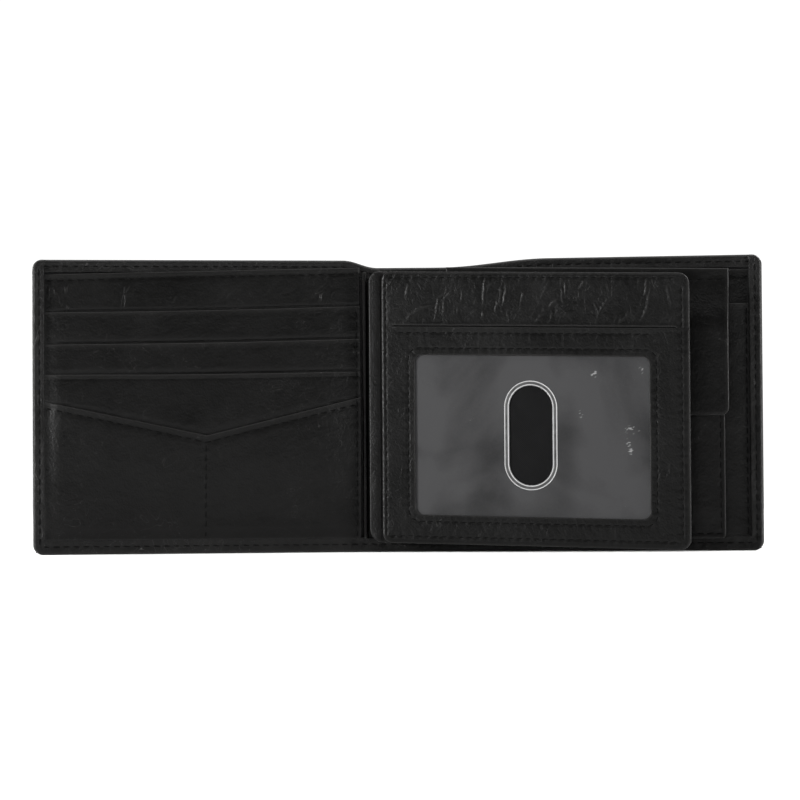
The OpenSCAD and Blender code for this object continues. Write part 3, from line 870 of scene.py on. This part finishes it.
def left_panel():
    bodies = (left, "left_leaf", "left_panel")
    top = straight(PANEL_TOP)
    mouths = [straight(m, 0.35) for m in MOUTHS]

    def v_edge(u):
        inner = V_MOUTH[1] + (V_VERTEX[1] - V_MOUTH[1]) * (u - PANEL[0]) / (V_VERTEX[0] - PANEL[0])
        outer = V_VERTEX[1] + (V_MOUTH[0] - V_VERTEX[1]) * (u - V_VERTEX[0]) / (PANEL[1] - V_VERTEX[0])
        return np.maximum(inner, outer)

    top_row = [(SEAM_U, float(top(SEAM_U)) - 2.0), (PANEL[1] - 0.8, float(top(PANEL[1])) - 2.0)]
    column = [(SEAM_U, PANEL_LOW + 0.5), (SEAM_U, MOUTHS[0][1] - 1.5)]
    edge = [(PANEL[1] - 0.6, V_MOUTH[0]), V_VERTEX, (PANEL[0] + 1.6, V_MOUTH[1] - 0.2)]
    v_row = [(a, b - 2.1) for a, b in edge]
    centre_u = V_VERTEX[0] + 0.3
    centre = [(centre_u, PANEL_LOW + 0.8), (centre_u, V_VERTEX[1] - 2.4)]
    creased = [u for ends in PANEL_CREASED for u in np.arange(*ends, 0.22)]
    fronts = [panel_piece("left_panel_leather", "left_panel_backing", bodies, top, 0, 3,
                          extra_u=about(SEAM_U - PANEL[0]) + creased, paths=[top_row, column],
                          extra_z=list(np.arange(67, 81.5, 0.4)), covers=mouths[:1], folds=PANEL_CREASES)]
    for k, name in enumerate(["card_pocket_upper", "card_pocket_middle", "card_pocket_lower"]):
        rim = [MOUTHS[k][0] - PANEL_LOW - x for x in (0.6, 0.9, 1.2, 1.5, 1.8, 2.3)]
        behind = [(mouths + [v_edge])[k + 1]]
        near = [z - PANEL_LOW + d for z in behind[0](np.array([95.0, 2.0])) for d in (0, 0.3, 0.6, 0.9)]
        fronts.append(panel_piece(f"{name}_leather", name, bodies, mouths[k], k + 1, 4 + k, paths=[column],
                                  extra_u=about(SEAM_U - PANEL[0]), extra_z=rim + near, covers=behind))
    fronts.append(panel_piece("v_pocket_leather", "v_pocket", bodies, v_edge, 4, 8, wrinkle=0.05,
                              paths=[column, v_row, centre], step=0.7,
                              extra_u=about(SEAM_U - PANEL[0], centre_u - PANEL[0])))

    def surface(U, Z):
        """Depth of whichever layer is in front at a point."""
        v = fronts[0](U, Z)
        for front, mouth in zip(fronts[1:], mouths + [v_edge]):
            v = np.where(Z < mouth(U), front(U, Z), v)
        return v

    rows = stitches("left_panel_stitches", left, [top_row, column, v_row, centre], surface, seed=3)
    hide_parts("left_panel_thread")
    lean_on(rows, *bodies)


left_panel()


# Right inner panel and coin pouch -------------------------------------


def right_panel():
    bodies = (right, "right_leaf", "right_panel")
    top = straight(RIGHT_TOP)
    slip = straight(SLIP_MOUTH)
    top_row = [(POUCH[1] + 1, float(top(93.0)) - 2.2), (PANEL[1] - 0.5, float(top(95.0)) - 2.2)]
    seam_u = PANEL[1] - 1.5
    column = [(seam_u, PANEL_LOW + 0.6), (seam_u, SLIP_MOUTH[0] - 1.0)]
    backing = panel_piece("right_panel_leather", "right_panel_backing", bodies, top, 0, 9,
                          paths=[top_row], extra_z=about(78.2), step=1.3, covers=[slip])
    front = panel_piece("slip_pocket_leather", "slip_pocket", bodies, slip, 1, 10, paths=[column],
                        step=1.3, extra_u=about(seam_u - PANEL[0]))

    def surface(U, Z):
        return np.where(Z < slip(U), front(U, Z), backing(U, Z))

    rows = stitches("right_panel_stitches", right, [top_row, column], surface, seed=5)
    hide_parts("right_panel_thread")
    lean_on(rows, *bodies)


def pouch():
    u0, u1, low = POUCH[0] + POUCH_SEAM, POUCH[1] - POUCH_SEAM, POUCH_LOW + 1.4
    seam = [(u0, FLAP_LOW + 10), (u0, low), (u1, low), (u1, POUCH_TOP - 2)]

    def base(U, Z):
        full = smooth((U - POUCH[0]) / 9) * smooth((POUCH[1] - U) / 9) * smooth((Z - POUCH_LOW) / 10)
        return POUCH_FRONT - 0.8 + 0.8 * full

    front = soft_leather(base, 12, [seam])
    piece = slab("coin_pouch_leather", right, POUCH, POUCH_LOW, POUCH_TOP, front,
                 lambda U, Z: base(U, Z) - 0.6, LEATHER, step=1.0, corners=(1.2, 0, 1.2, 0), radius=0.4,
                 seed=12, extra_u=about(POUCH_SEAM, u1 - POUCH[0]), extra_z=about(1.4))
    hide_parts("coin_pouch_front")
    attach(piece, "pouch_front")
    rows = stitches("coin_pouch_stitches", right, [seam], front, seed=6)
    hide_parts("pouch_thread")
    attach(rows, "pouch_front")
    ends, low, high = (POUCH[0] + 1.2, POUCH[1] - 1.2), POUCH_LOW + 1, POUCH_TOP - 0.5
    lining = slab("coin_pouch_lining_cloth", right, ends, low, high, lambda U, Z: base(U, Z) - 0.62,
                  lambda U, Z: base(U, Z) - 0.74, LINING, step=3, radius=0.1, seed=13)
    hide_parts("coin_pouch_lining")
    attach(lining, "pouch_front")
    gusset(base)


def gusset(base):
    """The folded strip that joins the pouch's front to the panel along its sides and bottom."""
    r = 1.5
    u0, u1, z0 = POUCH[0] + 0.8, POUCH[1] - 0.8, POUCH_LOW + 0.8

    def arc(middle_u, start):
        turn = np.radians(np.linspace(start, start + 90, 7))[1:]
        return [(middle_u + r * math.cos(a), z0 + r + r * math.sin(a)) for a in turn]

    line = [(u0, z) for z in np.linspace(POUCH_TOP - 1, z0 + r, 40)] + arc(u0 + r, 180)
    line += [(u, z0) for u in np.linspace(u0 + r, u1 - r, 60)[1:]] + arc(u1 - r, 270)
    line += [(u1, z) for z in np.linspace(z0 + r, POUCH_TOP - 1, 40)[1:]]
    line = np.array(line)
    count = len(line)
    tangent = np.gradient(line, axis=0)
    tangent /= np.linalg.norm(tangent, axis=1)[:, None]
    outward = np.stack([tangent[:, 1], -tangent[:, 0]], -1)
    depth = base(*line.T) - 0.4 - GUSSET_V
    across = np.linspace(0, 1, 7)
    points, faces = [], []
    # The section's ring of points: up the outer face and down the inner one
    for layer_out, order in ((0.5, across), (0.05, across[::-1])):
        for t in order:
            flat = line + outward * (layer_out - 0.9 * math.sin(math.pi * t))
            points.append(np.column_stack([flat[:, 0], GUSSET_V + t * depth, flat[:, 1]]))
    rows = len(points)
    for a in range(rows):
        b = (a + 1) % rows
        for i in range(count - 1):
            faces.append([a * count + i, a * count + i + 1, b * count + i + 1, b * count + i])
    for i in (0, count - 1):
        for a in range(len(across) - 1):
            faces.append([row * count + i for row in (a, a + 1, rows - 2 - a, rows - 1 - a)])
    local = np.concatenate(points)
    piece = make_object("pouch_gusset_leather", right.world(local), faces, local + [0, 560, 0],
                        np.zeros(len(local)), *LEATHER)
    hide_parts("pouch_gusset")
    right.point(POUCH_MIDDLE, 3.0, 30)
    right.point(POUCH_MIDDLE, 4.6, 30)
    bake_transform(piece)


def flap():
    """The flap, from its sewn top strip over the fold line to its free edge."""
    far = POUCH[1] + 1.4

    def top(u):
        return FLAP_TOP[1] + (FLAP_TOP[0] - FLAP_TOP[1]) * (u - POUCH[0]) / (POUCH[1] - POUCH[0])

    def base(U, Z):
        out = smooth((FLAP_HINGE - Z + 1) / (FLAP_HINGE - FLAP_KNEE + 3))
        ends = smooth((U - POUCH[0]) / 6) * smooth((far - U) / 6)
        return FLAP_ROOT_V + (FLAP_FRONT - FLAP_ROOT_V) * out * (0.86 + 0.14 * ends)

    top_row = [(POUCH[0] + 1, FLAP_HINGE + 0.9), (far - 1.0, FLAP_HINGE - 0.2)]
    front = soft_leather(base, 14, [top_row])
    piece = slab("coin_flap_leather", right, (POUCH[0] - 0.2, far), FLAP_LOW, top, front,
                 lambda U, Z: base(U, Z) - 0.95, LEATHER, step=1.0, corners=(2.2, 0, 2.2, 0), radius=0.45,
                 seed=14, extra_z=about(FLAP_HINGE - FLAP_LOW))
    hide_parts("coin_flap", "flap_root")
    rows = stitches("coin_flap_stitches", right, [top_row], front, seed=7)
    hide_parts("flap_thread")
    for part in (piece, rows):
        right.point(POUCH_MIDDLE, 2.6, FLAP_HINGE + 0.4)
        right.point(POUCH_MIDDLE, 2.6, FLAP_HINGE - 3.2)
        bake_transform(part)


right_panel()
pouch()
flap()


# Flip wing ------------------------------------------------------------


def fall(u):
    """Height of the wing's bottom edge above the ground: it droops to the free end."""
    return WING_LOW + (WING[1] / 2 - u) * DROOP


def wing_top(u):
    return fall(u) + WING_H


def edge_drop(d, depth=0.45, reach=1.4):
    """Rounds the wing's edge back towards its middle."""
    return depth * (1 - smooth(d / reach))


def wing_seams():
    """Sewn rows of the wing: four near its edges that go right through, then the window's and the slit's."""
    w, gap = WINDOW, WINDOW_SEAM
    loop = rounded_loop(w[0] - gap, w[1] + gap, w[2] - gap, w[3] + gap, [3.4] * 4, 12)
    return [
        [(2.0, 2.2), (WING[1] - 3.7, 2.2)],
        [(WING[1] - 2.2, 3.7), (WING[1] - 2.2, WING_H - 4)],
        [(2.0, WING_H - 1.7), (WING[1] - 4, WING_H - 1.7)],
        [(WING[0] + 1.4, 2.5), (WING[0] + 1.4, WING_H - 2.5)],
        np.concatenate([loop, loop[:1]]),
        [(4.5, SLIT - 2.0), (82.7, SLIT - 2.0)],
    ]


def slit_open(U):
    """1 along the slit, 0 beyond its ends."""
    return smooth((U - SLIT_ENDS[0]) / 0.6) * smooth((SLIT_ENDS[1] - U) / 0.6)


def beyond_slit(U, Z):
    return (np.abs(Z - SLIT) < 0.5) & (slit_open(U) < 0.01)


def wing_pieces():
    paths = wing_seams()
    w, count = WINDOW, 90

    def edge_distance(U, Z):
        return np.minimum.reduce([WING[1] - U, Z, WING_H - Z, U - WING[0] + 0.5])

    def front_v(U, Z):
        v = 0.98 + 0.10 * layered(U / 13, Z / 12, 50, 3) + 0.05 * (0.3 - creases(U, Z, 51, 6, 0.09, 0.4, 1.5))
        on_strip = smooth((Z - SLIT) / 1.5)
        v = v + 0.07 * on_strip * layered((U - 0.5 * Z) / 3.0, Z / 7, 59, 2)
        v = v + ridges(U, Z, STRIP_CREASES, 52, 0.28) * on_strip + ridges(U, Z, FRAME_CREASES, 53, 0.16)
        v = v + 0.13 * on_strip * (creases(U, Z, 61, 4.2, 0.17, -0.4, 2.0) - 0.3)
        lip = 0.1 * slit_open(U) * np.exp(-(((np.abs(Z - SLIT) - 0.6) / 0.4) ** 2))
        v = v + lip - edge_drop(edge_distance(U, Z)) - groove(U, Z, paths[4:5], 0.14, 0.45, WING_PITCH)
        return v - groove(U, Z, paths[:4] + paths[5:], 0.18, 0.5, WING_PITCH)

    def inner_v(U, Z):
        return 0.42 - 0.2 * (1 - smooth(edge_distance(U, Z) / 1.4))

    def lowered(face):
        """A face given over heights above the wing's bottom edge, for points at their true heights."""
        return lambda U, Z: face(U, Z - fall(U))

    inner = rounded_loop(*w, [2.4] * 4, count)
    outer = rounded_loop(WING[0], WING[1], 0.0, SLIT, [WING_R, 0.05, 0.05, WING_R], count)
    outer[:, 1] -= SLIT_GAP * slit_open(outer[:, 0]) * (outer[:, 1] > SLIT - 0.2)
    frame_piece = ring_slab("wing_frame_leather", wing, inner, outer, front_v, inner_v, LEATHER, step=0.4,
                            radius=0.28, seed=15, lift=fall, flat=beyond_slit)
    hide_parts("wing_front_frame")

    # The wear given here makes the strip's crease crests paler: a painted highlight along each ridge
    strip = slab("wing_top_pocket_leather", wing, WING, lambda u: fall(u) + SLIT + SLIT_GAP * slit_open(u),
                 wing_top, lowered(front_v), lowered(inner_v), LEATHER, step=0.32, radius=0.3, seed=16,
                 corners=(0, WING_R, 0, WING_R), flat_low=lambda U: slit_open(U) < 0.01,
                 wear_and_highlight=lambda U, Z: 3.0 * np.maximum(ridges(U, Z - fall(U), STRIP_CREASES, 52), 0))
    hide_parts("wing_top_pocket")

    def rear_v(U, Z):
        v = -1.0 + 0.07 * layered(U / 18, Z / 14, 54, 2) - 0.08 * (0.3 - creases(U, Z, 55, 7, 0.08, 0.3, 1.5))
        return v + edge_drop(edge_distance(U, Z), 0.35) + groove(U, Z, paths[:4], 0.12, 0.5, WING_PITCH)

    back = slab("wing_back_leather", wing, (1.2, WING[1]), fall, wing_top,
                lambda U, Z: -0.35 - 0.1 * (1 - smooth(edge_distance(U, Z - fall(U)) / 1.4)), lowered(rear_v),
                LEATHER, step=1.0, corners=[WING_R] * 4, radius=0.3, seed=17)
    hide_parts("wing_back")

    divider = slab("wing_divider_cloth", wing, (WING[0] + 1.2, WING[1] - 1), lambda u: fall(u) + 1,
                   lambda u: wing_top(u) - 1, lambda U, Z: -0.02 + 0.03 * layered(U / 9, Z / 9, 56, 2),
                   lambda U, Z: -0.25 + 0 * U, LINING, step=2.0, radius=0.1, seed=18)
    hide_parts("wing_divider")

    window, rim = window_pieces(count)
    sewn = [[(u, z + float(fall(u))) for u, z in path] for path in paths]
    rows = stitches("wing_stitches", wing, sewn, lowered(front_v), pitch=WING_PITCH, radius=0.17, seed=8)
    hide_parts("wing_thread")
    rear = stitches("wing_rear_stitches", wing, sewn[:3], lowered(rear_v), pitch=WING_PITCH, radius=0.17,
                    facing=-1, seed=9)
    for part in (frame_piece, strip, back, divider, window, rim, rows, rear):
        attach(part, "wing")


def window_pieces(count):
    """The film with its thumb hole, and the welded bead round the hole."""
    w = WINDOW
    u, z, wide, tall = THUMB

    def thumb_loop(grow):
        a, b = wide + grow, tall + grow
        return rounded_loop(u - a, u + a, z - b, z + b, [a - 0.05] * 4, count)

    def film_v(U, Z):
        ease = smooth((U - w[0]) / 5) * smooth((w[1] - U) / 5)
        ease = ease * smooth((w[3] - Z) / 5) * smooth((Z - w[2]) / 5)
        return 0.36 + 0.16 * ease * layered(U / 21, Z / 17, 57, 2)

    def scuffs(U, Z):
        """White rubbed flecks, in a few places."""
        near = [np.exp(-(((U - a) / half) ** 2) - ((Z - b) / 1.3) ** 2) for a, b, half in SCUFFS]
        flecks = smooth((noise(U * 1.9, Z * 2.6, 77) - 0.25) / 0.2)
        return 0.8 * flecks * smooth((np.max(near, axis=0) - 0.25) / 0.3)

    def bead_v(U, Z):
        """Two ridges with a valley between, across the rows of the bead's grid."""
        t = np.linspace(0, 1, U.shape[-1])
        return film_v(U, Z) + 0.2 + 0.05 * np.cos(4 * math.pi * t)

    under = 1.5
    far = rounded_loop(w[0] - under, w[1] + under, w[2] - under, w[3] + under, [1.5] * 4, count)
    window = ring_slab("id_window_film_sheet", wing, thumb_loop(-1.2), far, film_v,
                       lambda U, Z: film_v(U, Z) - 0.22, FILM, step=0.4, radius=0.1, seed=19, lift=fall,
                       wear_and_highlight=scuffs, rub=0.05)
    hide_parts("id_window_film")
    # rub=0.2 sets how far the painted highlight reaches in from the bead's two edges
    rim = ring_slab("thumb_hole_bead", wing, thumb_loop(-1.0), thumb_loop(0.3), bead_v,
                    lambda U, Z: film_v(U, Z) - 0.25, BEAD_PAINTED_HIGHLIGHT, step=0.1, radius=0.22, seed=20, lift=fall,
                    rub=0.2)
    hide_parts("thumb_hole_rim")
    return window, rim


def hinge_strip():
    """The strip that carries the wing: it turns round the crease and under the wing's edge."""
    def front(U, Z):
        dive = 0.7 * smooth((-U - 1.5) / 2.7) + 0.28 * smooth((U + 1.0) / 0.5)
        return 0.55 - dive + 0.06 * layered(U / 2, Z / 5, 60, 3)

    def back(U, Z):
        return -0.45 - 0.4 * smooth((-U - 1.5) / 2.7) + 0.2 * smooth((U + 1.0) / 0.5)

    strip = slab("wing_hinge_strip_leather", wing, STRIP, fall, wing_top, front, back, LEATHER, step=0.7,
                 corners=(4.0, 3.0, 0, 0), radius=0.45, seed=21,
                 extra_u=[u - STRIP[0] for u in (-1.25, -1, -0.75, -0.5, -0.25, 0)])
    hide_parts("wing_hinge_strip")
    wing.point(-0.9, 0, MIDDLE_Z)
    wing.point(0.9, 0, MIDDLE_Z)
    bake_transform(strip)


def spine_inside():
    """The lining of the spine, with its rolled edge standing beside the left crease."""
    seat = Place("left_fold", 1, 0.0, 0.5)

    def front(U, Z):
        roll = smooth((U - 0.3) / 0.4) * smooth((1.8 - U) / 0.45)
        return 0.85 + 0.06 * layered(U / 3, Z / 8, 62, 3) + 2.0 * roll

    lining = slab("spine_lining_leather", seat, (0.3, 2 * SPINE_HALF - 0.6), 4.0, 85.4, front,
                  lambda U, Z: 0.5 + 0 * U, LEATHER, step=1.0, radius=0.15, seed=22,
                  extra_u=list(np.arange(0.1, 2.0, 0.15)))
    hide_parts("spine_lining")
    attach(lining, "spine")
    seat.point(5, INSIDE, MIDDLE_Z)
    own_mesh(lining)


wing_pieces()
hinge_strip()
spine_inside()


# Metal and other carried-over nodes -----------------------------------

for name in ("snap_cap", "snap_socket", "snap_stud", "snap_post"):
    part = frame["nodes"][name]
    part.data.materials.clear()
    part.data.materials.append(steel)
tab = frame["nodes"]["wing_tab"]
tab.data.materials.clear()
tab.data.materials.append(hide)


# Stage, light and camera ----------------------------------------------


def stage():
    """A plain pale floor."""
    bpy.ops.mesh.primitive_plane_add(size=12)
    floor = bpy.context.object
    floor.name = "floor"
    pale = Recipe("floor").shade(Base_Color=rgba(0.9), Roughness=0.9, Specular_IOR_Level=0.1)
    floor.data.materials.append(pale)


def world():
    """White for the eye, a dim room for the light."""
    made = bpy.data.worlds.new("studio")
    bpy.context.scene.world = made
    made.use_nodes = True
    tree = made.node_tree
    tree.nodes.clear()
    seen = add_node(tree, "Background", {"Color": rgba(1), "Strength": 1.1}).outputs[0]
    room = add_node(tree, "Background", {"Color": rgba(1), "Strength": 0.1}).outputs[0]
    for_eye = add_node(tree, "LightPath").outputs["Is Camera Ray"]
    mix = add_node(tree, "MixShader", {0: for_eye, 1: room, 2: seen})
    add_node(tree, "OutputWorld", {"Surface": mix.outputs[0]})


def overhead(strength):
    """A wide soft light from straight above."""
    data = bpy.data.lights.new("overhead", "SUN")
    data.angle = math.radians(90)
    data.energy = strength
    bpy.context.scene.collection.objects.link(bpy.data.objects.new("overhead", data))


def soft_light(name, place, target, size, power):
    data = bpy.data.lights.new(name, "AREA")
    data.shape = "RECTANGLE"
    data.size, data.size_y = size
    data.energy = power
    lamp = bpy.data.objects.new(name, data)
    bpy.context.scene.collection.objects.link(lamp)
    lamp.location = place
    aim(lamp, target)


def aim(obj, target):
    obj.rotation_euler = (Vector(target) - obj.location).to_track_quat("-Z", "Y").to_euler()


def camera():
    data = bpy.data.cameras.new("camera")
    data.lens = 147.4
    data.sensor_width = 36
    data.clip_start = 0.05
    eye = bpy.data.objects.new("camera", data)
    bpy.context.scene.collection.objects.link(eye)
    crease = JOINTS["left_fold"]["pos_m"]
    middle_x = (crease[0] + JOINTS["right_fold"]["pos_m"][0]) / 2 + 0.65 * MM
    eye.location = (middle_x, crease[1] - 1.0, 0.020)
    aim(eye, (middle_x, crease[1], 0.0463))
    eye.rotation_euler.rotate_axis("Z", math.radians(CAMERA_ROLL))
    bpy.context.scene.camera = eye


bpy.context.scene.view_settings.view_transform = "Standard"
stage()
world()
overhead(3.5)
soft_light("left", (-1.2, -0.5, 0.25), (0, 0, 0.04), (0.35, 0.45), 24)
soft_light("right", (1.2, -0.42, 0.25), (0, 0, 0.04), (0.3, 0.45), 18)
soft_light("back_left", (-0.9, 1.2, 0.45), (0, 0, 0.04), (0.5, 0.5), 12)
soft_light("back_right", (0.8, 1.2, 0.7), (0, 0, 0.04), (0.5, 0.5), 9)
camera()
